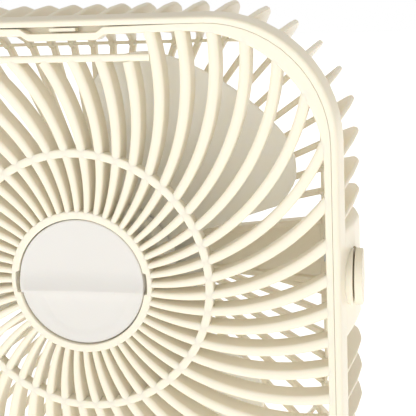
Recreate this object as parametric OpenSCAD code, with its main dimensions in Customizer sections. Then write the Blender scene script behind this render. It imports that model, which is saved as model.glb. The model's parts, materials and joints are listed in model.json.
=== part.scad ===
// Small desk box fan: a square cage with a spiral front grille, a three-blade impeller,
// a rear motor, a quarter-turn centre cap and a speed dial on the right side.
// Millimetres. X is to the right seen from the front, Y goes to the back, Z is up.
// The origin is under the middle of the fan, on the surface that it stands on.

/* [Body] */
// Width and height of the front frame
body_w = 200; // [180:1:220]
// Depth from the front face to the back of the rear grille
body_depth = 50; // [46:1:60]
// Radius of the front frame's outer corners
corner_r = 46; // [40:1:48]
// How far the cage bulges past the front frame on each side
bulge = 6; // [4:0.5:7]
// Height of the feet under the cage
foot_h = 10; // [8:0.5:14]
// Length of each cross foot from front to back
foot_len = 84; // [70:1:100]

/* [Front grille] */
// Number of spiral ribs
rib_count = 48; // [36:4:52]
// Depth of the ribs from front to back
rib_depth = 9; // [6:0.5:10]
// Radius of the arc that each rib follows
rib_arc_r = 86; // [82:1:92]
// Radius of the middle ring
ring_r = 50.8; // [44:0.2:58]
// Width of the band that frames the ribs
rim_band = 2.4; // [2:0.1:3]

/* [Cage] */
// Number of fins around the cage, a multiple of 4
fin_count = 64; // [48:4:72]
// Thickness of one fin
fin_t = 2.2; // [1.6:0.1:2.6]
// Height of the solid side blocks' tops over the fan's axis
block_top = 21; // [20:0.5:24]
// Depth of the solid side blocks' feet under the fan's axis
block_foot = 24; // [20:0.5:26]

/* [Centre cap] */
// Radius of the centre cap
cap_r = 25; // [22:0.5:26]
// How far the cap's grip stands out of the front face
grip_proud = 1.5; // [1:0.25:3]

/* [Impeller] */
// Number of blades
blade_count = 3; // [3:1:5]
// Radius to the blade tips
blade_r = 92; // [84:0.5:92]
// Slope of the blades
blade_pitch = 15; // [12:1:15]

/* [Speed dial] */
// Radius of the dial
dial_r = 11; // [9:0.5:12]
// Depth of the dial's axis behind the front face
dial_depth = 17; // [15:0.5:20]

/* [Hidden] */
$fn = 96;

half = body_w / 2;
tip_half = half + bulge;
axis_z = tip_half + foot_h;
cover_proud = 2.5;
front_y = (grip_proud - body_depth - cover_proud) / 2;
corner_c = half - corner_r;
fin_pitch = 360 / fin_count;
eps = 0.01;

// front frame and grille rim, as half widths
frame_depth = 8;
skirt_half = half + 2;
skirt_front = 1.5;
seam_half = half - 2.4;
rim_half = seam_half - rim_band;
rim_corner_r = 48.5;
seam_corner_r = 47;
ledge_half = rim_half + 0.2;
grille_front = 0.2;

// finger recess in the top of the grille rim, and the window under it
recess_top = 17;
recess_foot = 13;
recess_drop = 2.5;
latch_half = 5;
window_left = -32.5;
window_right = 28;
bar_low = 84.8;
bar_high = 87.4;

// hub of the front grille
hub_in = cap_r + 0.4;
hub_out = 28.4;
cap_boss_r = 9;
cap_back = 3.8;
boss_back = 5.4;
rib_root = 27;
rib_half = 1.1;
rib_phase = -0.9;

// cage
wall_in = half - 6;
hoop_in = half - 12;
hoop_w = 2.4;
rear_t = 5.5;
bulge_depth = 33;
shoulder_half = half - 4;
rail_depth = 2.5;
boss_plate_r = 40;
spoke_in = 9;
spoke_out = 14.5;

// motor, as radii and depths behind the front face
flange_r = 38;
flange_front = 42.5;
flange_back = body_depth - rear_t;
flange_screw_r = 34;
plate_hole_r = 24;
tube_r = 6;
bearing_r = 4;
bearing_h = 4;
shaft_r = 1.5;
shaft_gap = 0.04;
shaft_front = 14;
shaft_back = 42;
stator_r = 20.4;
stator_front = 21;
stator_back = 31;
winding_h = 1.8;
board_front = 36.4;
board_t = 1.4;
magnet_in = 21;
can_in = 23.2;
can_r = 24.8;
can_front = 17;
can_back = 34;

// impeller
hub_r = 28;
hub_front = 15;
hub_back = 35;
blade_mid = 27;
blade_root = 26.5;
blade_t = 1.6;
blade_camber_r = 400;
blade_petal_r = 44;
blade_petal_x = 65;
blade_half_angle = 36;
blade_first = 52;
nut_r = 4;

// speed dial
dial_z = -1;
dial_in = half + 5;
dial_out = half + 8;
boss_out = dial_in - 0.7;
neck_r = 7;
stem_r = 3;

// control box in the right side block, and the power inlet behind it
box_half = 18;
box_front = 13;
box_back = 43;
box_in = wall_in + 1.5;
box_out = half - 0.4;
board_plate_t = 1;
port_in = hoop_in + 2;
port_front = box_back + 1;
port_half = 4.5;
port_t = 3.2;

// feet
foot_x = 36;
foot_w = 16;
pad_h = 2;

// frame screws, one in each corner
frame_screw_c = 83.6;

// Local frame: x right, y up, z towards the front, zero on the fan's axis at the front face.
module upright() {
    translate([0, front_y, axis_z]) rotate([90, 0, 0]) children();
}

// A prism of the 2D children from depth d0 to depth d1.
module layer(d0, d1) {
    translate([0, 0, -d1]) linear_extrude(d1 - d0) children();
}

module rounded_square(h, r) {
    c = h - r;
    union() {
        square([2 * h, 2 * c], center = true);
        square([2 * c, 2 * h], center = true);
        for (x = [-c, c], y = [-c, c]) translate([x, y]) circle(r);
    }
}

// The 2D section runs along the right side, or round the upper right corner. Its x is the distance
// from the fan's axis, and its y is minus the depth.
module along_side() {
    rotate([90, 0, 0]) translate([0, 0, -corner_c]) linear_extrude(2 * corner_c) children();
}

module around_corner() {
    translate([corner_c, corner_c, 0]) rotate_extrude(angle = 90) translate([-corner_c, 0]) children();
}

// A disc or bore on the dial's axis, between two distances from the fan's axis.
module on_dial_axis(from, to, r) {
    translate([from, dial_z, -dial_depth]) rotate([0, 90, 0]) cylinder(r = r, h = to - from);
}

// Screw holes, screws and bosses that stand in a ring.
module in_ring(r, count, first) {
    for (i = [0 : count - 1]) rotate(first + 360 / count * i) translate([r, 0]) children();
}

module recess_outline(top, drop, widen) {
    polygon([
        [-recess_top - widen, top], [recess_top + widen, top],
        [recess_foot + widen, top - drop], [-recess_foot - widen, top - drop]
    ]);
}

// ---------- front frame and grille ----------

// The frame's sides spread out to the cage's width.
module skirt_section() {
    polygon([
        [half - 1, -skirt_front], [half, -skirt_front],
        [skirt_half, -frame_depth], [half - 1, -frame_depth]
    ]);
}

module front_frame() {
    color("ivory") upright() {
        difference() {
            union() {
                layer(0, frame_depth) rounded_square(half, corner_r);
                for (turn = [0, 90, 180, 270]) rotate(turn) {
                    along_side() skirt_section();
                    around_corner() skirt_section();
                }
            }
            on_dial_axis(half, tip_half, dial_r + 0.5);
            layer(-1, 5) rounded_square(seam_half, seam_corner_r);
            layer(4, frame_depth + 1) rounded_square(ledge_half, rim_corner_r);
            layer(4, frame_depth + 1) translate([-latch_half - 0.5, ledge_half - 1])
                square([2 * latch_half + 1, 3.2]);
            layer(5.2, frame_depth + 1) in_ring(frame_screw_c * sqrt(2), 4, 45) circle(1.5);
        }
    }
}

module rib() {
    grow = 8.32;
    lean = 50.5;
    inner_r = rib_arc_r + rib_half + 4.22;
    intersection() {
        difference() {
            translate([rib_root, rib_arc_r]) circle(rib_arc_r + rib_half);
            translate([rib_root - grow * cos(lean), rib_arc_r + grow * sin(lean)]) circle(inner_r);
        }
        translate([rib_root - 0.6, -rib_half - 1]) square([120, rib_arc_r]);
    }
}

module spiral_ribs() {
    for (i = [0 : rib_count - 1]) rotate(rib_phase + 360 / rib_count * i) rib();
}

module grille_outline() {
    union() {
        difference() {
            rounded_square(seam_half - 0.15, seam_corner_r);
            rounded_square(rim_half, rim_corner_r);
            recess_outline(seam_half + 1, recess_drop + 1, 0);
        }
        difference() {
            recess_outline(rim_half + eps, recess_drop, rim_band);
            recess_outline(seam_half + 1, recess_drop + 1, 0);
        }
        difference() {
            intersection() {
                spiral_ribs();
                rounded_square(rim_half + 1, rim_corner_r + 1);
            }
            translate([window_left, bar_high]) square([window_right - window_left, 20]);
        }
        translate([window_left - 2.5, bar_low])
            square([window_right - window_left + 6, bar_high - bar_low]);
        difference() {
            circle(ring_r + 1.6);
            circle(ring_r - 1.6);
        }
        circle(hub_out);
    }
}

module front_grille() {
    color("ivory") upright() {
        difference() {
            layer(grille_front, 5) grille_outline();
            layer(-1, 4.1) circle(hub_in);
            layer(-1, 12) circle(cap_boss_r + 0.3);
        }
        layer(5, rib_depth) difference() {
            intersection() {
                grille_outline();
                rounded_square(ledge_half - 0.3, rim_corner_r);
            }
            circle(hub_out - 3.5);
        }
    }
}

// ---------- centre cap ----------

module centre_cap() {
    color("ivory") upright() difference() {
        union() {
            layer(0.6, cap_back) circle(cap_r);
            layer(cap_back - eps, boss_back) circle(cap_boss_r);
            intersection() {
                translate([-cap_r, 0, 0]) rotate([90, 0, 90]) linear_extrude(2 * cap_r) grip_section();
                layer(-grip_proud, 1) circle(cap_r - 0.5);
            }
        }
        layer(2, 6) circle(1.3);
    }
}

// The grip slopes up from above and drops sharply on its lower side.
module grip_section() {
    polygon([[-4, -1], [-3.4, grip_proud], [-1.6, grip_proud], [5.5, -0.6], [5.5, -1]]);
}

module cap_lock_plate() {
    color("gainsboro") upright() layer(boss_back, boss_back + 1.5) difference() {
        union() {
            circle(cap_boss_r);
            square([30, 7], center = true);
        }
        circle(1.3);
    }
}

module cap_screw() {
    color("silver") upright() {
        layer(2, boss_back + 1.5) circle(1.3);
        layer(boss_back + 1.5, boss_back + 2.7) circle(2.6);
    }
}

// ---------- grille latch ----------

module grille_latch() {
    color("wheat") upright() layer(1.2, 6) translate([-latch_half, rim_half + 0.9])
        square([2 * latch_half, 1.2]);
}

// ---------- cage ----------

module fin_bars() {
    for (i = [0 : fin_count - 1]) rotate(fin_pitch * i) translate([0, -fin_t / 2]) square([150, fin_t]);
}

// Section of the cage wall: distance from the axis against minus the depth.
module wall_section() {
    polygon([
        [ledge_half, -frame_depth], [skirt_half, -frame_depth],
        [tip_half - 1.6, -bulge_depth + 13], [tip_half - 0.4, -bulge_depth + 6],
        [tip_half, -bulge_depth], [tip_half - 0.3, -bulge_depth - 3],
        [tip_half - 1.4, -body_depth + 10], [tip_half - 3.2, -body_depth + 6.5],
        [shoulder_half + 3.5, -body_depth + 3], [shoulder_half - 2, -body_depth],
        [hoop_in, -body_depth], [hoop_in, -body_depth + rear_t],
        [wall_in - 3, -body_depth + rear_t], [wall_in - 0.5, -body_depth + rear_t + 5],
        [wall_in + 0.5, -rib_depth - 0.4], [ledge_half, -rib_depth - 0.4]
    ]);
}

module rail_sections() {
    translate([half - 4, -frame_depth - rail_depth]) square([3.4, rail_depth]);
    translate([hoop_in, -body_depth + 1]) square([hoop_w, rear_t - 1]);
}

// One straight side of the cage, on +x in the local frame.
module cage_side() {
    intersection() {
        layer(0, body_depth + 1) fin_bars();
        along_side() wall_section();
    }
    along_side() rail_sections();
}

module cage_corner() {
    difference() {
        union() {
            intersection() {
                layer(0, body_depth + 1) fin_bars();
                around_corner() wall_section();
            }
            around_corner() rail_sections();
            layer(frame_depth, frame_depth + 5) frame_screw_spot() circle(3.6);
        }
        layer(frame_depth - 1, frame_depth + 6) frame_screw_spot() circle(1.5);
        layer(frame_depth + 5, frame_depth + 10) frame_screw_spot() circle(3.4);
    }
}

module frame_screw_spot() {
    translate([frame_screw_c, frame_screw_c]) children();
}

// A solid stretch of the cage wall between two places along the side.
module wall_block(from, to) {
    intersection() {
        translate([hoop_in, from, -body_depth]) cube([30, to - from, body_depth]);
        along_side() wall_section();
    }
}

module cage_top() {
    color("ivory") upright() rotate(90) cage_side();
}

// Two solid stretches with flat undersides carry the cross feet.
module cage_bottom() {
    color("ivory") upright() rotate(270) {
        cage_side();
        for (s = [-1, 1]) {
            wall_block(s * foot_x - foot_w / 2, s * foot_x + foot_w / 2);
            translate([half - 2, s * foot_x - foot_w / 2, -body_depth + 8])
                cube([bulge + 2, foot_w, body_depth - 8 - frame_depth]);
        }
    }
}

module cage_left() {
    color("ivory") upright() rotate(180) {
        cage_side();
        wall_block(-block_top, block_foot);
    }
}

module box_space(in, out, margin) {
    translate([in, -box_half + margin, -box_back + margin])
        cube([out - in, 2 * (box_half - margin), box_back - box_front - 2 * margin]);
}

module cage_right() {
    color("ivory") upright() difference() {
        union() {
            cage_side();
            wall_block(-block_foot, block_top);
            on_dial_axis(half, boss_out, dial_r);
        }
        on_dial_axis(boss_out, tip_half + 1, dial_r + 0.5);
        box_space(box_in - 1, box_out, 0);
        box_space(hoop_in - 1, box_in, -1);
        on_dial_axis(box_out - 1, boss_out + 1, stem_r + 0.3);
        translate([port_in, -port_half, -body_depth - 1])
            cube([port_t, 2 * port_half, body_depth - port_front + 2]);
    }
}

module cage_corner_upper_right() {
    color("ivory") upright() cage_corner();
}

module cage_corner_upper_left() {
    color("ivory") upright() rotate(90) cage_corner();
}

module cage_corner_lower_left() {
    color("ivory") upright() rotate(180) cage_corner();
}

module cage_corner_lower_right() {
    color("ivory") upright() rotate(270) cage_corner();
}

// ---------- rear grille ----------

module spoke_outline() {
    polygon([
        [boss_plate_r - 4, -spoke_in], [hoop_in, -spoke_out],
        [hoop_in, spoke_out], [boss_plate_r - 4, spoke_in]
    ]);
}

module rear_outline() {
    difference() {
        union() {
            intersection() {
                fin_bars();
                rounded_square(hoop_in, hoop_in - corner_c);
            }
            circle(boss_plate_r);
            for (a = [0, 180]) rotate(a) spoke_outline();
        }
        circle(plate_hole_r);
    }
}

module rear_grille() {
    color("ivory") upright() difference() {
        layer(body_depth - rear_t, body_depth) rear_outline();
        layer(body_depth - rear_t - 1, body_depth + 1) in_ring(flange_screw_r, 4, 45) circle(1.5);
        layer(body_depth - 2, body_depth + 1) in_ring(flange_screw_r, 4, 45) circle(2.9);
    }
}

module rear_cover() {
    color("ivory") upright() {
        layer(body_depth, body_depth + 1) circle(28);
        layer(body_depth + 1, body_depth + cover_proud) circle(26);
        layer(body_depth - 3, body_depth) difference() {
            circle(plate_hole_r - 0.2);
            circle(plate_hole_r - 2);
        }
    }
}

// ---------- motor ----------

// The flange, the tube that holds both bearings, and the screw bosses.
module motor_cup() {
    color("gainsboro") upright() difference() {
        union() {
            layer(flange_front, flange_back) circle(flange_r);
            layer(stator_front - 1, flange_front) circle(tube_r);
            layer(flange_front - 3, flange_front) in_ring(flange_screw_r, 4, 45) circle(3.4);
        }
        layer(stator_front - 2, body_depth) circle(bearing_r);
        layer(flange_front - 4, body_depth) in_ring(flange_screw_r, 4, 45) circle(1.5);
    }
}

module motor_screws() {
    color("silver") upright() {
        layer(flange_front - 2, body_depth - 2) in_ring(flange_screw_r, 4, 45) circle(1.4);
        layer(body_depth - 2, body_depth - 0.4) in_ring(flange_screw_r, 4, 45) circle(2.6);
    }
}

module stator_core() {
    teeth = 9;
    color("dimgray") upright() layer(stator_front, stator_back) difference() {
        union() {
            circle(tube_r + 3);
            in_ring(0, teeth, 0) translate([0, -1.6]) square([stator_r - 1, 3.2]);
            intersection() {
                difference() {
                    circle(stator_r);
                    circle(stator_r - 1.8);
                }
                in_ring(0, teeth, 0) translate([0, -5.6]) square([stator_r + 1, 11.2]);
            }
        }
        circle(tube_r);
    }
}

module stator_windings() {
    color("peru") upright() for (d = [stator_front - winding_h, stator_back])
        layer(d, d + winding_h) difference() {
            circle(stator_r - 2);
            circle(tube_r + 2);
        }
}

module motor_board() {
    color("seagreen") upright() layer(board_front, board_front + board_t) difference() {
        circle(19);
        circle(tube_r);
    }
}

module bearing(front) {
    layer(front, front + bearing_h) difference() {
        circle(bearing_r);
        circle(shaft_r + shaft_gap);
    }
}

module front_bearing() {
    color("silver") upright() bearing(stator_front);
}

module rear_bearing() {
    color("silver") upright() bearing(shaft_back - bearing_h - 1);
}

module motor_shaft() {
    color("silver") upright() layer(shaft_front, shaft_back) circle(shaft_r);
}

module rotor_can() {
    color("silver") upright() difference() {
        layer(can_front, can_back) circle(can_r);
        layer(can_front + 1.5, can_back + 1) circle(can_in);
        layer(can_front - 1, can_back) circle(shaft_r);
    }
}

module magnet_ring() {
    color("dimgray") upright() layer(can_front + 2, can_back - 1) difference() {
        circle(can_in);
        circle(magnet_in);
    }
}

// ---------- impeller ----------

// Outline of one blade from the front, with its middle along +x: a petal inside a wedge.
module blade_outline() {
    side = tan(blade_half_angle);
    intersection() {
        circle(blade_r);
        union() {
            translate([blade_petal_x, 0]) circle(blade_petal_r);
            polygon([[18, -12], [50, -36], [50, 36], [18, 12]]);
        }
        polygon([[0, 0], [blade_r, -blade_r * side], [blade_r, blade_r * side]]);
    }
}

module blade() {
    intersection() {
        layer(hub_front - 6, body_depth) difference() {
            blade_outline();
            circle(blade_root);
        }
        translate([0, 0, -blade_mid]) rotate([blade_pitch, 0, 0])
            translate([0, 0, -blade_camber_r]) rotate([0, 90, 0]) difference() {
                cylinder(r = blade_camber_r + blade_t / 2, h = blade_r + 5);
                translate([0, 0, -1]) cylinder(r = blade_camber_r - blade_t / 2, h = blade_r + 7);
            }
    }
}

module impeller() {
    color("ivory") upright() {
        difference() {
            layer(hub_front, hub_back) circle(hub_r);
            layer(can_front, hub_back + 1) circle(can_r);
            layer(hub_front - 1, can_front + 1) circle(shaft_r);
        }
        for (i = [0 : blade_count - 1]) rotate(blade_first + 360 / blade_count * i) blade();
    }
}

module impeller_nut() {
    color("gainsboro") upright() difference() {
        layer(hub_front - 1.6, hub_front) circle(nut_r);
        layer(shaft_front, hub_front + 1) circle(shaft_r);
    }
}

// ---------- speed dial and its electronics ----------

module speed_dial() {
    color("ivory") upright() {
        on_dial_axis(dial_in, dial_out, dial_r);
        on_dial_axis(boss_out + 0.3, dial_in, neck_r);
    }
}

module dial_shaft() {
    color("silver") upright() on_dial_axis(box_in + 3, boss_out + 0.3, stem_r);
}

module dial_control() {
    inner = box_in + board_plate_t;
    color("dimgray") upright() difference() {
        translate([inner, dial_z - 7, -dial_depth - 5]) cube([box_out - inner, 14, 8.5]);
        on_dial_axis(inner + 0.6, box_out + 1, stem_r + 0.3);
    }
}

module control_board() {
    color("seagreen") upright() translate([box_in, -15, -box_back + 3]) cube([board_plate_t, 30, 26]);
}

module control_cover() {
    color("ivory") upright() box_space(wall_in + 0.4, box_in, -0.8);
}

module power_socket() {
    color("silver") upright() difference() {
        translate([port_in, -port_half, -body_depth])
            cube([port_t, 2 * port_half, body_depth - port_front]);
        translate([port_in + 0.4, -port_half + 0.4, -body_depth - 1])
            cube([port_t - 0.8, 2 * port_half - 0.8, body_depth - port_front]);
    }
}

// ---------- fasteners and feet ----------

module frame_screws() {
    color("silver") upright() {
        layer(5.4, frame_depth + 5) in_ring(frame_screw_c * sqrt(2), 4, 45) circle(1.4);
        layer(frame_depth + 5, frame_depth + 6.8) in_ring(frame_screw_c * sqrt(2), 4, 45) circle(2.8);
    }
}

// A bar with round ends that lies across the fan, from front to back.
module cross_foot(x) {
    r = foot_w / 2;
    translate([x, 0, pad_h]) linear_extrude(foot_h - pad_h) union() {
        square([foot_w, foot_len - foot_w], center = true);
        for (s = [-1, 1]) translate([0, s * (foot_len / 2 - r)]) circle(r);
    }
}

module left_foot() {
    color("ivory") cross_foot(-foot_x);
}

module right_foot() {
    color("ivory") cross_foot(foot_x);
}

module foot_pads() {
    color("dimgray") for (x = [-foot_x, foot_x], s = [-1, 1])
        translate([x, s * (foot_len / 2 - foot_w / 2), 0]) cylinder(r = 6, h = pad_h);
}

front_frame();
front_grille();
centre_cap();
cap_lock_plate();
cap_screw();
grille_latch();
cage_top();
cage_bottom();
cage_left();
cage_right();
cage_corner_upper_right();
cage_corner_upper_left();
cage_corner_lower_left();
cage_corner_lower_right();
rear_grille();
motor_cup();
rear_cover();
stator_core();
stator_windings();
motor_board();
front_bearing();
rear_bearing();
motor_screws();
motor_shaft();
rotor_can();
magnet_ring();
impeller();
impeller_nut();
speed_dial();
dial_shaft();
dial_control();
control_board();
control_cover();
power_socket();
frame_screws();
left_foot();
right_foot();
foot_pads();
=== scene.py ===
"""A small desk box fan: detailed meshes, materials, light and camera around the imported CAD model.

Lengths in this script are millimetres. Points are given in the fan's front frame: x to the right,
up from the fan's axis, and depth behind the front face. at() turns them into Blender's metres.
"""
import json
import math

import bmesh
import bpy
from mathutils import Matrix, Vector


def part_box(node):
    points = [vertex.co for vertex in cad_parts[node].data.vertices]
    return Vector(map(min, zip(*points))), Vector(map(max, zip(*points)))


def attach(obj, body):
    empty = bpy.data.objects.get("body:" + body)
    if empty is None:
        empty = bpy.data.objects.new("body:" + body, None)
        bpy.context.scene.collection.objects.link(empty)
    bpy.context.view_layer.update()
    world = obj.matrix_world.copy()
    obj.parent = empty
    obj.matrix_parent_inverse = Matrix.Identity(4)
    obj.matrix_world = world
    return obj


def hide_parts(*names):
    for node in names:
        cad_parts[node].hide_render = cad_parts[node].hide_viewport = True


MM = 0.001
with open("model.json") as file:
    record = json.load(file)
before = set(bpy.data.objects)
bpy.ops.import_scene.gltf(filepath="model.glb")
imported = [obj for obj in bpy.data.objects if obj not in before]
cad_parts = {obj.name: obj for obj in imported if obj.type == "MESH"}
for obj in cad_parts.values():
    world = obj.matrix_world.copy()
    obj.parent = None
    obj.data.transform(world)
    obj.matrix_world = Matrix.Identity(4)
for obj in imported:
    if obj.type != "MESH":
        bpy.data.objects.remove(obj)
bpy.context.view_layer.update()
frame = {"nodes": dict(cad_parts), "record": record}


# ---------- sizes, from the CAD nodes ----------

def node_box(node):
    low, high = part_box(node)
    return low / MM, high / MM


frame_low, frame_high = node_box("front_frame")
SKIRT = 2
HALF = frame_high.x - SKIRT
FRONT = frame_low.y
AXIS = (frame_low.z + frame_high.z) / 2
FRAME_DEPTH = frame_high.y - frame_low.y
GRILLE_BACK = node_box("front_grille")[1].y - FRONT
TIP = node_box("cage_top")[1].z - AXIS
BACK = node_box("cage_top")[1].y - FRONT
COVER_BACK = node_box("rear_cover")[1].y - FRONT
CAP_R = node_box("centre_cap")[1].x
CAP_PROUD = FRONT - node_box("centre_cap")[0].y
PLATE_FRONT = node_box("rear_grille")[0].y - FRONT
HOOP_IN = node_box("rear_grille")[1].x
BLOCK_TOP = 21
BLOCK_FOOT = -24
CORNER = 46
BEND = HALF - CORNER
GRILLE_CORNER = 48.5
SEAM = HALF - 2.1
RIM_IN = SEAM - 2.8
RIM_OUT = SEAM - 0.15
RIM_BACK = 4.9
DIAL_LOW, DIAL_HIGH = node_box("speed_dial")
DIAL_R = (DIAL_HIGH.y - DIAL_LOW.y) / 2
DIAL_DEPTH = (DIAL_HIGH.y + DIAL_LOW.y) / 2 - FRONT
DIAL_UP = (DIAL_HIGH.z + DIAL_LOW.z) / 2 - AXIS
DIAL_OUT = DIAL_HIGH.x
DISC_T = 3.0
BOSS_OUT = DIAL_OUT - DISC_T - 0.7

FIN_COUNT = 64
FIN_T = 2.2
RIB_COUNT = 48
RIB_ROOT = 27
RIB_ARC = 86
RIB_PHASE = -0.9
RING_R = 50.8
HUB_IN = 25.4
HUB_OUT = 28.4
WINDOW = (-32.5, 28)
BAR = (84.8, 87.4)
RECESS_TOP = 17
RECESS_FOOT = 13
RECESS_DROP = 2.4
RECESS_GAP = 0.7
RECESS_GAP_END = 44
PLATE_R = 40
FIN_PHASE = math.radians(1)
FIN_SWEEP = math.radians(0.1)
BULGE_DEPTH = 33
BAR_DEPTH = 3.4
BLADE_FIRST = 52
BLADE_COUNT = 3
BLADE_ROOT = 26.5
BLADE_R = 92
BLADE_THIN = 0.8
BLADE_PITCH = math.radians(15)
BLADE_MID = 27
BLADE_CAMBER = 400
BLADE_PETAL_R = 44
BLADE_PETAL_X = 65
BLADE_HALF = math.radians(36)


def at(x, up, depth):
    return Vector((x, FRONT + depth, AXIS + up)) * MM


# ---------- small shape helpers ----------

def filleted(corners, radius, steps=4):
    """A closed 2D outline with its corners rounded. Each corner is (a, b) or (a, b, its own radius)."""
    out = []
    n = len(corners)
    for i in range(n):
        p = Vector(corners[i][:2])
        before = Vector(corners[i - 1][:2]) - p
        after = Vector(corners[(i + 1) % n][:2]) - p
        own = corners[i][2] if len(corners[i]) > 2 else radius
        angle = before.angle(after)
        trim = own / math.tan(angle / 2) if own else 0
        trim = min(trim, before.length * 0.49, after.length * 0.49)
        if trim < 1e-4:
            out.append(p)
            continue
        start = p + before.normalized() * trim
        end = p + after.normalized() * trim
        for k in range(steps + 1):
            t = k / steps
            out.append(start * (1 - t) ** 2 + p * 2 * t * (1 - t) + end * t ** 2)
    return out


def mesh_piece(name, smooth_angle=35):
    mesh = bpy.data.meshes.new(name)
    piece = bpy.data.objects.new(name, mesh)
    bpy.context.scene.collection.objects.link(piece)
    piece["smooth_angle"] = smooth_angle
    return piece


def fill(piece, bm, weld=0.002):
    bmesh.ops.remove_doubles(bm, verts=bm.verts, dist=weld * MM)
    bmesh.ops.recalc_face_normals(bm, faces=bm.faces)
    limit = math.radians(piece["smooth_angle"])
    for face in bm.faces:
        face.smooth = True
    for edge in bm.edges:
        edge.smooth = len(edge.link_faces) == 2 and edge.calc_face_angle(0) < limit
    bm.to_mesh(piece.data)
    bm.free()
    return piece


def loft(bm, rings, around=True, along=False, caps=False):
    """Faces between neighbouring rings of points. around closes each ring, along joins last to first."""
    rows = [[bm.verts.new(p) for p in ring] for ring in rings]
    n = len(rows[0])
    pairs = list(zip(rows, rows[1:]))
    if along:
        pairs.append((rows[-1], rows[0]))
    for a, b in pairs:
        for i in range(n if around else n - 1):
            j = (i + 1) % n
            bm.faces.new((a[i], a[j], b[j], b[i]))
    if caps:
        bm.faces.new(rows[0])
        bm.faces.new(reversed(rows[-1]))


def square_ring(half, radius, arc=14, extra=()):
    """Points round a rounded square, from 3 o'clock. extra are x places along its top side."""
    c = half - radius
    pts = []
    for k, (sx, sy) in enumerate(((1, 1), (-1, 1), (-1, -1), (1, -1))):
        for i in range(arc + 1):
            a = math.pi / 2 * (k + i / arc)
            pts.append((sx * c + radius * math.cos(a), sy * c + radius * math.sin(a)))
        if k == 0:
            pts.extend((x, half) for x in extra)
    return pts


def reach(angle, half):
    """Distance from the axis to the cage's rounded square of that half width, at that angle."""
    cx, cy = abs(math.cos(angle)), abs(math.sin(angle))
    big, small = max(cx, cy), min(cx, cy)
    if half * small / big <= BEND:
        return half / big
    along = BEND * (cx + cy)
    return along + math.sqrt(along ** 2 - 2 * BEND ** 2 + (half - BEND) ** 2)


def spun(bm, profile, centre, axis_turn, steps=96):
    """A turned piece. profile is (radius, distance along the axis) from one end to the other."""
    rings = []
    for r, z in profile:
        rings.append([centre + axis_turn @ Vector((r * math.cos(a), r * math.sin(a), z)) * MM
                      for a in (2 * math.pi * i / steps for i in range(steps))])
    loft(bm, rings)


def slab(bm, outline, place, thick, round_r):
    """A flat piece with round edges. outline is 2D and closed, place(a, b, across) gives the point."""
    n = len(outline)
    normals = []
    for i in range(n):
        edge = outline[(i + 1) % n] - outline[i - 1]
        normals.append(Vector((edge.y, -edge.x)).normalized())
    area = sum(outline[i - 1].cross(outline[i]) for i in range(n))
    side = 1 if area > 0 else -1
    rings = []
    for k in range(8):
        t = (k if k < 4 else 7 - k) / 3 * math.pi / 2
        across = (thick / 2 - round_r + round_r * math.cos(t)) * (-1 if k < 4 else 1)
        inset = round_r * (1 - math.sin(t))
        rings.append([place(*(p - side * m * inset), across) for p, m in zip(outline, normals)])
    loft(bm, rings, caps=True)


def swept(bm, path, sections):
    """A bar along path. Each section is a list of (sideways, depth) at that path point."""
    rings = []
    n = len(path)
    for i, (p, section) in enumerate(zip(path, sections)):
        ahead = (path[min(i + 1, n - 1)] - path[max(i - 1, 0)]).normalized()
        side = Vector((-ahead.y, ahead.x))
        rings.append([at(*(p + side * s), d) for s, d in section])
    loft(bm, rings, caps=True)


def bar_section(half, front, back, crown, draft=0.85, steps=6):
    """The section of a grille bar: a round front, sides that lean in, and small round back corners."""
    pts = []
    for k in range(steps * 2 + 1):
        a = math.pi * k / (steps * 2)
        pts.append((-half * math.cos(a), front + crown * (1 - math.sin(a) ** 0.8)))
    foot = half * draft
    pts += [(foot, back - 0.5), (foot - 0.4, back), (-foot + 0.4, back), (-foot, back - 0.5)]
    return pts


# ---------- materials ----------

def moulded(name, colour, rough=0.34, grain=0.25, warm=0.0, coat=0.0, reach_in=(1.0, 0.6, 0.3)):
    """Moulded plastic: slight colour drift, uneven gloss and a very fine surface grain.

    warm is how much light goes into the plastic, and reach_in how far each colour of it goes.
    """
    mat = bpy.data.materials.new(name)
    mat.use_nodes = True
    nodes = mat.node_tree.nodes
    links = mat.node_tree.links
    shader = nodes["Principled BSDF"]
    coords = nodes.new("ShaderNodeTexCoord")
    drift = nodes.new("ShaderNodeTexNoise")
    drift.inputs["Scale"].default_value = 14
    drift.inputs["Detail"].default_value = 3
    ramp = nodes.new("ShaderNodeValToRGB")
    ramp.color_ramp.elements[0].position = 0.3
    ramp.color_ramp.elements[1].position = 0.7
    ramp.color_ramp.elements[0].color = (*[c * 0.975 for c in colour], 1)
    ramp.color_ramp.elements[1].color = (*[min(1, c * 1.015) for c in colour], 1)
    gloss = nodes.new("ShaderNodeTexNoise")
    gloss.inputs["Scale"].default_value = 90
    gloss.inputs["Detail"].default_value = 4
    spread = nodes.new("ShaderNodeMapRange")
    spread.inputs["To Min"].default_value = rough - 0.05
    spread.inputs["To Max"].default_value = rough + 0.07
    fine = nodes.new("ShaderNodeTexNoise")
    fine.inputs["Scale"].default_value = 1600
    fine.inputs["Detail"].default_value = 2
    bump = nodes.new("ShaderNodeBump")
    bump.inputs["Strength"].default_value = grain
    bump.inputs["Distance"].default_value = 0.00006
    for tex in (drift, gloss, fine):
        links.new(coords.outputs["Object"], tex.inputs["Vector"])
    links.new(drift.outputs["Fac"], ramp.inputs["Fac"])
    links.new(ramp.outputs["Color"], shader.inputs["Base Color"])
    links.new(gloss.outputs["Fac"], spread.inputs["Value"])
    links.new(spread.outputs["Result"], shader.inputs["Roughness"])
    links.new(fine.outputs["Fac"], bump.inputs["Height"])
    links.new(bump.outputs["Normal"], shader.inputs["Normal"])
    shader.inputs["IOR"].default_value = 1.5
    shader.inputs["Subsurface Weight"].default_value = warm
    shader.inputs["Subsurface Radius"].default_value = reach_in
    shader.inputs["Subsurface Scale"].default_value = 0.002
    shader.inputs["Coat Weight"].default_value = coat
    shader.inputs["Coat Roughness"].default_value = 0.12
    return mat


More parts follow.
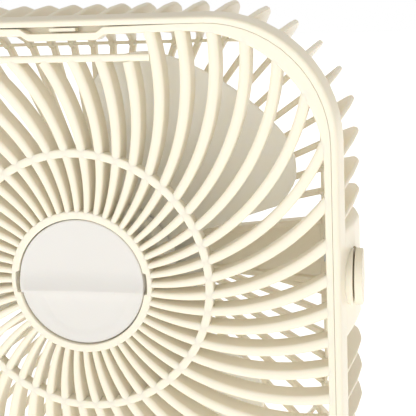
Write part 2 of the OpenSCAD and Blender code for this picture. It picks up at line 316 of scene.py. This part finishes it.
def metal(name, colour, rough=0.3, brushed=400):
    """Metal with fine streaks in its gloss and a little tarnish."""
    mat = bpy.data.materials.new(name)
    mat.use_nodes = True
    nodes = mat.node_tree.nodes
    links = mat.node_tree.links
    shader = nodes["Principled BSDF"]
    coords = nodes.new("ShaderNodeTexCoord")
    streak = nodes.new("ShaderNodeTexNoise")
    streak.inputs["Scale"].default_value = brushed
    streak.inputs["Detail"].default_value = 5
    spread = nodes.new("ShaderNodeMapRange")
    spread.inputs["To Min"].default_value = rough - 0.1
    spread.inputs["To Max"].default_value = rough + 0.12
    ramp = nodes.new("ShaderNodeValToRGB")
    ramp.color_ramp.elements[0].color = (*[c * 0.85 for c in colour], 1)
    ramp.color_ramp.elements[1].color = (*colour, 1)
    links.new(coords.outputs["Object"], streak.inputs["Vector"])
    links.new(streak.outputs["Fac"], spread.inputs["Value"])
    links.new(streak.outputs["Fac"], ramp.inputs["Fac"])
    links.new(spread.outputs["Result"], shader.inputs["Roughness"])
    links.new(ramp.outputs["Color"], shader.inputs["Base Color"])
    shader.inputs["Metallic"].default_value = 1
    return mat


SLOTS = {
    "ivory": moulded("ivory_plastic", (0.90, 0.84, 0.70), warm=0.15, coat=0.1),
    "cap_ivory": moulded("cap_plastic", (0.74, 0.725, 0.70), rough=0.4, warm=0.1),
    "impeller_ivory": moulded("impeller_plastic", (0.96, 0.93, 0.85), rough=0.24, grain=0.1,
                              warm=0.8, coat=0.4, reach_in=(2.4, 2.1, 1.7)),
    "dial_ivory": moulded("dial_plastic", (0.90, 0.84, 0.70), rough=0.42, warm=0.1),
    "white_nylon": moulded("white_nylon", (0.78, 0.77, 0.72), rough=0.45),
    "dark_plastic": moulded("dark_plastic", (0.02, 0.02, 0.022), rough=0.4),
    "screw_steel": metal("plated_steel", (0.6, 0.6, 0.6)),
    "can_steel": metal("drawn_steel", (0.5, 0.5, 0.5), rough=0.35),
    "core_steel": metal("laminated_steel", (0.25, 0.25, 0.26), rough=0.5, brushed=900),
    "copper": metal("enamelled_copper", (0.55, 0.22, 0.08), rough=0.3, brushed=1500),
    "magnet": moulded("bonded_ferrite", (0.03, 0.03, 0.032), rough=0.55, grain=0.5),
    "circuit_board": moulded("circuit_board", (0.015, 0.13, 0.05), rough=0.4),
    "pad_rubber": moulded("pad_rubber", (0.035, 0.034, 0.033), rough=0.8, grain=0.6),
}


def dress(piece, slot, body, *replaced):
    """Gives a piece its material, its body, and the CAD nodes that it stands for."""
    piece.data.materials.clear()
    piece.data.materials.append(SLOTS[slot])
    del piece["smooth_angle"]
    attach(piece, body)
    if replaced:
        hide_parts(*replaced)
    return piece


for part in frame["record"]["subparts"]:
    cad_mesh = frame["nodes"][part["node"]].data
    cad_mesh.materials.clear()
    cad_mesh.materials.append(SLOTS[part["material_slot"]])


# ---------- front frame and grille ----------

RECESS_STOPS = [RECESS_GAP_END, 30, RECESS_TOP + 1.5, RECESS_TOP, 16, 15, 14]
RECESS_STOPS = RECESS_STOPS + [RECESS_FOOT, RECESS_FOOT - 1.5]
RECESS_STOPS = RECESS_STOPS + [4, 0, -4] + [-x for x in reversed(RECESS_STOPS)]


def recess_drop(x):
    """How far the grille's rim lies below the frame: the recess's dip, and a gap that tapers off."""
    t = min(1, max(0, (RECESS_TOP + 0.4 - abs(x)) / (RECESS_TOP - RECESS_FOOT + 0.8)))
    gap = RECESS_GAP * max(0, 1 - abs(x) / RECESS_GAP_END)
    return max(RECESS_DROP * t * t * (3 - 2 * t), gap)


def band(bm, profile, radius_of, drop=None):
    """A closed band round the front. profile is (half width, depth) round its section."""
    rings = []
    for half, depth in profile:
        ring = square_ring(half, radius_of(half), extra=RECESS_STOPS)
        if drop:
            ring = [(x, y - (drop(x) if y > half - 0.01 else 0)) for x, y in ring]
        rings.append([at(x, y, depth) for x, y in ring])
    loft(bm, rings, along=True)


def seam_radius(half):
    """Corner radius at a half width: concentric outside the seam, rounder at the ribs' frame."""
    if half >= SEAM - 1:
        return CORNER - (HALF - half) + 1.2 * min(1, max(0, HALF - half) / 2.4)
    return GRILLE_CORNER - (RIM_IN - half) * (0.6 if half < RIM_IN else 0.9)


def build_front_frame():
    bm = bmesh.new()
    section = filleted([
        (HALF + SKIRT, FRAME_DEPTH, 0.5), (HALF + 0.7, 2, 3.5), (HALF + 0.1, 0, 1.3), (SEAM, 0, 0.15),
        (SEAM, 5, 0.2),
        (RIM_IN + 0.2, 5, 0.2), (RIM_IN + 0.2, FRAME_DEPTH, 0.4)
    ], 0.4, 5)
    band(bm, section, seam_radius)
    return fill(mesh_piece("front_frame_shell"), bm)


def rib_half(r):
    """Half width of a rib at a distance from the axis."""
    if r < RING_R:
        return 1.1 + 0.6 * (r - RIB_ROOT) / (RING_R - RIB_ROOT)
    return 1.7 + 0.35 * min(1, (r - RING_R) / 30)


def rib_path(turn):
    """Points of one rib's arc, from the hub to where it meets the rim or the window's bar."""
    pts = []
    for k in range(90):
        t = k * 1.45 / RIB_ARC
        p = Vector((RIB_ROOT + RIB_ARC * math.sin(t), RIB_ARC * (1 - math.cos(t))))
        p.rotate(Matrix.Rotation(turn, 2))
        if WINDOW[0] < p.x < WINDOW[1] and p.y > BAR[0] + 1:
            break
        if p.length > reach_rim(p, RIM_IN + 0.1):
            pts.append((p, RIM_BACK - 0.2))
            if p.length > reach_rim(p, RIM_IN + 1):
                break
            continue
        pts.append((p, GRILLE_BACK))
    return pts


def reach_rim(p, half):
    """Distance from the axis to a half width in the rim band, in the direction of p."""
    c = half - GRILLE_CORNER
    x, y = abs(p.x), abs(p.y)
    big, small = max(x, y), min(x, y)
    if half * small / big <= c:
        return half / big * p.length
    along = c * (x + y) / p.length
    return along + math.sqrt(along ** 2 - 2 * c ** 2 + GRILLE_CORNER ** 2)


def build_front_grille():
    bm = bmesh.new()
    rim = filleted([
        (SEAM - 0.02, RIM_BACK, 0.3), (SEAM - 0.02, 0.7, 0.1), (RIM_OUT, 0.6, 0.05),
        (RIM_OUT, 0.1, 0.15), (RIM_IN, 0.1, 0.9), (RIM_IN, RIM_BACK, 0.3)
    ], 0.4, 5)
    band(bm, rim, seam_radius, recess_drop)
    for i in range(RIB_COUNT):
        path = rib_path(math.radians(RIB_PHASE + 360 / RIB_COUNT * i))
        sections = [bar_section(rib_half(p.length), 0.2, back, 1.25) for p, back in path]
        path = [p for p, back in path]
        swept(bm, path, sections)
    bar_path = [Vector((WINDOW[0] - 3.2 + 3.6 * k, (BAR[0] + BAR[1]) / 2)) for k in range(20)]
    bar = bar_section((BAR[1] - BAR[0]) / 2, 0.2, GRILLE_BACK, 0.7)
    swept(bm, bar_path, [bar] * len(bar_path))
    ring = bar_section(1.6, 0.15, 5, 0.6, 0.92)
    loft(bm, [[at((RING_R + s) * math.cos(a), (RING_R + s) * math.sin(a), d) for s, d in ring]
              for a in (2 * math.pi * i / 144 for i in range(144))], along=True)
    hub = filleted([(0, GRILLE_BACK - 1, 0.3), (0, 0.15, 0.45), (HUB_OUT - HUB_IN, 0.15, 0.6),
                    (HUB_OUT - HUB_IN, GRILLE_BACK - 1, 0.3)], 0.4, 4)
    rings = []
    for i in range(288):
        a = 2 * math.pi * i / 288
        notch = 1.2 if abs(math.sin(a)) * HUB_IN < 4.4 else 0
        radii = [(HUB_IN + max(s, notch), d) for s, d in hub]
        rings.append([at(r * math.cos(a), r * math.sin(a), d) for r, d in radii])
    loft(bm, rings, along=True)
    spun(bm, [(9.3, 4.1), (HUB_IN + 1, 4.1), (HUB_IN + 1, 5), (9.3, 5), (9.3, 4.1)],
         at(0, 0, 0), Matrix.Rotation(math.radians(-90), 3, "X"))
    return fill(mesh_piece("front_grille_moulding"), bm)


# ---------- centre cap ----------

def cap_front(x, y):
    """Depth of the cap's front: a plain upper half, a ridge with a soft top, and a dished lower half."""
    edge_y = -3.7 - 0.35 * (x / CAP_R) ** 2
    level = 0.55
    if y > edge_y:
        slope = max(0.0, 1 - (y - edge_y - 1.0) / 7.5) if y > edge_y + 1.0 else 1.0
        depth = level - (level + CAP_PROUD - 0.1) * slope ** 1.6
    else:
        depth = 1.0
        inner = min(CAP_R * 0.74 - math.hypot(x, y + 3.9), edge_y - y - 0.8)
        depth += 0.35 * min(1, max(0, inner / 2.5)) ** 1.5
    rim = CAP_R - math.hypot(x, y)
    if rim < 0.6:
        depth += 0.6 - math.sqrt(max(0, 0.36 - (0.6 - rim) ** 2))
    ridge_end = min(1, max(0, (rim - 0.2) / 2.5))
    if depth < level:
        depth = level + (depth - level) * (0.35 + 0.65 * ridge_end)
    return depth


def build_cap():
    bm = bmesh.new()
    steps = 72
    heights = [CAP_R * math.cos(math.pi * k / 46) for k in range(1, 46)]
    heights += [-3.2 + 0.15 * k for k in range(-9, 5)]
    heights = sorted(set(round(h, 3) for h in heights), reverse=True)
    rings = []
    for y in heights:
        span = math.sqrt(CAP_R ** 2 - y ** 2)
        cols = [math.sin(math.pi / 2 * (2 * k / steps - 1)) for k in range(steps + 1)]
        rings.append([at(span * c, y, cap_front(span * c, y)) for c in cols])
    loft(bm, rings, around=False)
    rim_edges = [e for e in bm.edges if e.is_boundary]
    wall = bmesh.ops.extrude_edge_only(bm, edges=rim_edges)
    new_verts = [v for v in wall["geom"] if isinstance(v, bmesh.types.BMVert)]
    for v in new_verts:
        v.co.y = (FRONT + 3.8) * MM
    loops = [e for e in bm.edges if e.is_boundary]
    bmesh.ops.holes_fill(bm, edges=loops)
    return fill(mesh_piece("centre_cap_moulding", 28), bm)


# ---------- cage ----------

def wall_outline():
    """The cage wall's section as (half width, depth), from its front edge to the back."""
    return filleted([
        (HALF - 4.6, FRAME_DEPTH, 1.6), (HALF + SKIRT - 0.2, FRAME_DEPTH, 1.2), (TIP - 1.4, 21, 12),
        (TIP + 0.1, BULGE_DEPTH, 12), (TIP - 1.6, BACK - 9, 6), (HALF - 0.5, BACK - 3, 5),
        (HOOP_IN + 0.2, BACK, 1.6), (HOOP_IN + 0.2, PLATE_FRONT, 1.6), (HALF - 9, PLATE_FRONT, 2.5),
        (HALF - 6.4, PLATE_FRONT - 5, 3)
    ], 1, 5)


def build_fins():
    bm = bmesh.new()
    outline = wall_outline()
    for i in range(FIN_COUNT):
        angle = 2 * math.pi * i / FIN_COUNT - FIN_PHASE
        if abs(math.cos(angle)) > 0.7 and BLOCK_FOOT < math.sin(angle) * TIP < BLOCK_TOP:
            continue
        sweep = FIN_SWEEP * max(0, math.cos(2 * angle))

        def place(half, depth, across):
            swept_angle = angle - sweep * max(0, BULGE_DEPTH - depth)
            out = Vector((math.cos(swept_angle), math.sin(swept_angle)))
            p = out * reach(swept_angle, half) + Vector((-out.y, out.x)) * across
            return at(p.x, p.y, depth)

        slab(bm, outline, place, FIN_T, 0.8)
    rails = ((HALF - 2.3, FRAME_DEPTH + 1.25, 1.7, 1.25), (HOOP_IN + 1.8, BACK - 2.4, 0.65, 2.2))
    for half, depth, wide, deep in rails:
        rail = filleted([(half - wide, depth - deep), (half + wide, depth - deep),
                         (half + wide, depth + deep), (half - wide, depth + deep)], 0.5, 3)
        band(bm, rail, lambda h: h - BEND)
    return fill(mesh_piece("cage_fins"), bm)


def bore(piece, centre, turn, radius, low, high):
    """Cuts a round pocket out of a piece, between two distances along its axis."""
    bm = bmesh.new()
    spun(bm, [(0.02, low), (radius, low), (radius, high), (0.02, high)], centre, turn, 128)
    cutter = fill(mesh_piece("cutter"), bm, 0.05)
    cut = piece.modifiers.new("pocket", "BOOLEAN")
    cut.operation = "DIFFERENCE"
    cut.object = cutter
    graph = bpy.context.evaluated_depsgraph_get()
    shape = bpy.data.meshes.new_from_object(piece.evaluated_get(graph))
    piece.modifiers.remove(cut)
    bpy.data.objects.remove(cutter)
    bm = bmesh.new()
    bm.from_mesh(shape)
    bpy.data.meshes.remove(shape)
    return fill(piece, bm)


def build_block(sign):
    """The solid stretch of the cage wall at one side. The right one has the dial's boss and pocket."""
    bm = bmesh.new()
    outline = wall_outline()
    edge_r = 3.4
    stations = [edge_r * (1 - math.cos(math.pi / 2 * k / 7)) for k in range(8)]
    ups = [BLOCK_FOOT + s for s in stations] + [BLOCK_TOP - s for s in reversed(stations)]
    rings = []
    for up in ups:
        near = min(up - BLOCK_FOOT, BLOCK_TOP - up, edge_r)
        drop = edge_r - math.sqrt(edge_r ** 2 - (edge_r - near) ** 2)
        rings.append([at(sign * (p.x - drop * max(0, (p.x - HALF + 4) / (TIP - HALF + 4))), up, p.y)
                      for p in outline])
    loft(bm, rings, caps=True)
    if sign < 0:
        return fill(mesh_piece("side_block_left"), bm)
    piece = fill(mesh_piece("side_block_right"), bm)
    turn = Matrix.Rotation(math.radians(90), 3, "Y")
    centre = at(BOSS_OUT, DIAL_UP, DIAL_DEPTH)
    piece = bore(piece, centre, turn, DIAL_R + 0.5, -0.4, 9)
    bm = bmesh.new()
    bm.from_mesh(piece.data)
    spun(bm, filleted([(0.02, 0), (DIAL_R, 0, 0.35), (DIAL_R, -5, 0.1), (0.02, -5)], 0, 3), centre, turn)
    return fill(piece, bm)


# ---------- rear grille ----------

def build_rear_grille():
    bm = bmesh.new()
    section = bar_section(1.25, BACK - 0.2 - BAR_DEPTH, BACK - 0.2, 0.8, 1.0, 4)
    lean = math.radians(10)
    for i in range(FIN_COUNT):
        angle = 2 * math.pi * i / FIN_COUNT - FIN_PHASE
        outer = reach(angle, HOOP_IN + 1.6)
        if abs(math.sin(angle)) * outer < 19:
            continue
        start = Vector((math.cos(angle), math.sin(angle))) * outer
        swing = angle + lean * (outer - PLATE_R) / outer * 0.9
        end = Vector((math.cos(swing), math.sin(swing))) * (PLATE_R - 1.5)
        path = [start.lerp(end, k / 8) for k in range(9)]
        swept(bm, path, [section] * len(path))
    turn = Matrix.Rotation(math.radians(-90), 3, "X")
    plate = filleted([(24, PLATE_FRONT), (PLATE_R, PLATE_FRONT, 0.8), (PLATE_R, BACK, 1.2),
                      (24, BACK)], 0.3, 4)
    spun(bm, plate + plate[:1], at(0, 0, 0), turn)
    for sign in (1, -1):
        lip = 2.6
        rows = []
        for k in range(9):
            x = PLATE_R - 3 + (HOOP_IN + 1 - PLATE_R + 3) * k / 8
            h = 9 + 5.5 * (x - PLATE_R + 4) / (HOOP_IN - PLATE_R + 4)
            rows.append([at(sign * x, y, d) for y, d in filleted([
                (-h, PLATE_FRONT - 1, 0.5), (-h + lip, PLATE_FRONT - 1, 0.5),
                (-h + lip + 0.5, PLATE_FRONT + 0.6, 0.2), (h - lip - 0.5, PLATE_FRONT + 0.6, 0.2),
                (h - lip, PLATE_FRONT - 1, 0.5), (h, PLATE_FRONT - 1, 0.5),
                (h, BACK - 0.2, 0.8), (-h, BACK - 0.2, 0.8)], 0.4, 3)])
        loft(bm, rows, caps=True)
    return fill(mesh_piece("rear_grille_moulding"), bm)


def build_rear_cover():
    bm = bmesh.new()
    profile = filleted([(0.02, COVER_BACK - 0.5), (17, COVER_BACK - 0.5, 0.4), (17.6, COVER_BACK, 0.3),
                        (26.5, COVER_BACK, 1.2), (28, BACK, 0.3), (0.02, BACK)], 0, 5)
    spun(bm, profile, at(0, 0, 0), Matrix.Rotation(math.radians(-90), 3, "X"), 128)
    return fill(mesh_piece("rear_cover_moulding"), bm)


# ---------- impeller ----------

def blade_edge(r):
    """Half angle of a blade at a distance from the axis: a petal with round outer corners."""
    petal = (r * r + BLADE_PETAL_X ** 2 - BLADE_PETAL_R ** 2) / (2 * r * BLADE_PETAL_X)
    angle = math.acos(min(1, petal)) if r > 50 else BLADE_HALF
    angle = min(angle, BLADE_HALF)
    corner = max(0, (r - BLADE_R + 9) / 9)
    return angle * (1 - 0.16 * corner ** 2 - 0.1 * corner ** 6)


def build_impeller():
    bm = bmesh.new()
    rows, cols = 40, 30
    for b in range(BLADE_COUNT):
        turn = math.radians(BLADE_FIRST + 360 / BLADE_COUNT * b)
        sheets = []
        for face in (-1, 1):
            rings = []
            for i in range(rows + 1):
                t = i / rows
                r = BLADE_ROOT + (BLADE_R - BLADE_ROOT) * (1 - (1 - t) ** 1.7)
                limit = blade_edge(r)
                ring = []
                for k in range(cols + 1):
                    v = math.sin(math.pi / 2 * (2 * k / cols - 1))
                    a = limit * v
                    x, y = r * math.cos(a), r * math.sin(a)
                    near = min((1 - abs(v)) * limit * r, (BLADE_R - r) * 1.2, 1.0)
                    thick = BLADE_THIN * math.sqrt(max(0, 1 - (1 - near) ** 2)) if near < 1 else BLADE_THIN
                    out = -y * math.tan(BLADE_PITCH) + y * y / (2 * BLADE_CAMBER)
                    p = Vector((x, y))
                    p.rotate(Matrix.Rotation(turn, 2))
                    ring.append(at(p.x, p.y, BLADE_MID + out + face * thick))
                rings.append(ring)
            sheets.append(rings)
        for rings in sheets:
            loft(bm, rings, around=False)
    hub_front = node_box("impeller")[0].y - FRONT
    hub = filleted([(0.02, hub_front + 0.01), (24, hub_front, 3), (28, hub_front + 3.5, 3),
                    (28, 35, 0.6), (25.2, 35, 0.4), (25.2, 17, 0.3), (0.02, 17)], 0, 6)
    spun(bm, hub, at(0, 0, 0), Matrix.Rotation(math.radians(-90), 3, "X"))
    return fill(mesh_piece("impeller_moulding", 40), bm)


# ---------- dial, feet ----------

def build_dial():
    """The dial: a neck in the groove, and a disc with a finely fluted rim."""
    bm = bmesh.new()
    centre = at(DIAL_OUT, DIAL_UP, DIAL_DEPTH)
    turn = Matrix.Rotation(math.radians(90), 3, "Y")
    profile = filleted([(0.02, 0), (DIAL_R - 0.1, 0, 0.5), (DIAL_R - 0.1, -DISC_T, 0.3),
                        (7, -DISC_T, 0.1), (7, -DISC_T - 0.5, 0.1), (0.02, -DISC_T - 0.5)], 0, 4)
    flutes = 60
    steps = flutes * 4
    rings = []
    for r, z in profile:
        ring = []
        for i in range(steps):
            a = 2 * math.pi * i / steps
            on_rim = r > DIAL_R - 0.4 and -2.6 < z < -0.4
            groove = 0.12 * (0.5 - 0.5 * math.cos(flutes * a)) if on_rim else 0
            cut = r - groove
            ring.append(centre + turn @ Vector((cut * math.cos(a), cut * math.sin(a), z)) * MM)
        rings.append(ring)
    loft(bm, rings)
    return fill(mesh_piece("speed_dial_knob"), bm)


def build_foot(node):
    """A cross foot: a bar with round ends and soft edges."""
    low, high = node_box(node)
    r = (high.x - low.x) / 2
    cx = (low.x + high.x) / 2
    outline = []
    for end in (1, -1):
        for k in range(17):
            a = math.pi * k / 16 if end > 0 else math.pi * (1 + k / 16)
            outline.append(Vector((r * math.cos(a), (high.y - r) * end + r * math.sin(a))))
    mid = (low.z + high.z) / 2
    bm = bmesh.new()
    slab(bm, outline, lambda a, b, across: Vector((cx + a, b, mid + across)) * MM, high.z - low.z, 1.4)
    return fill(mesh_piece(node + "_moulding"), bm)


dress(build_front_frame(), "ivory", "housing", "front_frame")
dress(build_front_grille(), "ivory", "housing", "front_grille")
dress(build_cap(), "cap_ivory", "cap", "centre_cap")
dress(build_fins(), "ivory", "housing", "cage_top", "cage_bottom", "cage_corner_upper_right",
      "cage_corner_upper_left", "cage_corner_lower_left", "cage_corner_lower_right")
dress(build_block(1), "ivory", "housing", "cage_right")
dress(build_block(-1), "ivory", "housing", "cage_left")
dress(build_rear_grille(), "ivory", "housing", "rear_grille")
dress(build_rear_cover(), "ivory", "housing", "rear_cover")
dress(build_impeller(), "impeller_ivory", "rotor", "impeller")
dress(build_dial(), "dial_ivory", "dial", "speed_dial")
dress(build_foot("left_foot"), "ivory", "housing", "left_foot")
dress(build_foot("right_foot"), "ivory", "housing", "right_foot")


# ---------- floor, light and camera ----------

def add_floor():
    bm = bmesh.new()
    bmesh.ops.create_grid(bm, x_segments=1, y_segments=1, size=6)
    mesh = bpy.data.meshes.new("floor")
    bm.to_mesh(mesh)
    bm.free()
    floor = bpy.data.objects.new("floor", mesh)
    bpy.context.scene.collection.objects.link(floor)
    mat = bpy.data.materials.new("pale_floor")
    mat.use_nodes = True
    shader = mat.node_tree.nodes["Principled BSDF"]
    shader.inputs["Base Color"].default_value = (0.9, 0.9, 0.9, 1)
    shader.inputs["Roughness"].default_value = 0.7
    shader.inputs["Emission Color"].default_value = (1, 1, 1, 1)
    shader.inputs["Emission Strength"].default_value = 0.8
    mesh.materials.append(mat)


def add_area(name, place, aim, size, power, colour=(1, 1, 1)):
    data = bpy.data.lights.new(name, "AREA")
    data.shape = "RECTANGLE"
    data.size, data.size_y = size
    data.energy = power
    data.color = colour
    light = bpy.data.objects.new(name, data)
    light.location = place
    light.rotation_euler = (aim - place).to_track_quat("-Z", "Y").to_euler()
    bpy.context.scene.collection.objects.link(light)


def add_lights():
    """Soft warm light from all round, a plain white backdrop, and two large area lights."""
    world = bpy.data.worlds.new("studio")
    world.use_nodes = True
    nodes = world.node_tree.nodes
    links = world.node_tree.links
    ambient = nodes["Background"]
    ambient.inputs["Color"].default_value = (1, 0.955, 0.87, 1)
    ambient.inputs["Strength"].default_value = 0.58
    backdrop = nodes.new("ShaderNodeBackground")
    backdrop.inputs["Color"].default_value = (1, 1, 1, 1)
    backdrop.inputs["Strength"].default_value = 1.0
    path = nodes.new("ShaderNodeLightPath")
    mix = nodes.new("ShaderNodeMixShader")
    links.new(path.outputs["Is Camera Ray"], mix.inputs["Fac"])
    links.new(ambient.outputs["Background"], mix.inputs[1])
    links.new(backdrop.outputs["Background"], mix.inputs[2])
    links.new(mix.outputs["Shader"], nodes["World Output"].inputs["Surface"])
    bpy.context.scene.world = world
    centre = Vector((0, 0, AXIS * MM))
    add_area("front_softbox", Vector((-0.25, -1.1, 0.42)), centre, (0.8, 0.8), 3.3, (0.93, 0.96, 1))
    add_area("rear_fill", Vector((0.3, 1.3, 0.8)), centre, (1.2, 1.2), 1.5)


def add_camera():
    data = bpy.data.cameras.new("camera")
    data.sensor_width = 36
    data.lens = 66.9
    data.shift_x = -0.195
    data.shift_y = -0.163
    data.clip_start = 0.01
    camera = bpy.data.objects.new("camera", data)
    yaw, pitch, roll = (math.radians(a) for a in (8.32, 9.71, 1.71))
    level = math.cos(pitch)
    ahead = Vector((-math.sin(yaw) * level, math.cos(yaw) * level, -math.sin(pitch)))
    turn = ahead.to_track_quat("-Z", "Y").to_matrix() @ Matrix.Rotation(-roll, 3, "Z")
    camera.matrix_world = Matrix.Translation(at(122.4, 102.2, -269.9)) @ turn.to_4x4()
    bpy.context.scene.collection.objects.link(camera)
    bpy.context.scene.camera = camera


add_floor()
add_lights()
add_camera()
bpy.context.scene.view_settings.view_transform = "Standard"
bpy.context.scene.view_settings.look = "None"
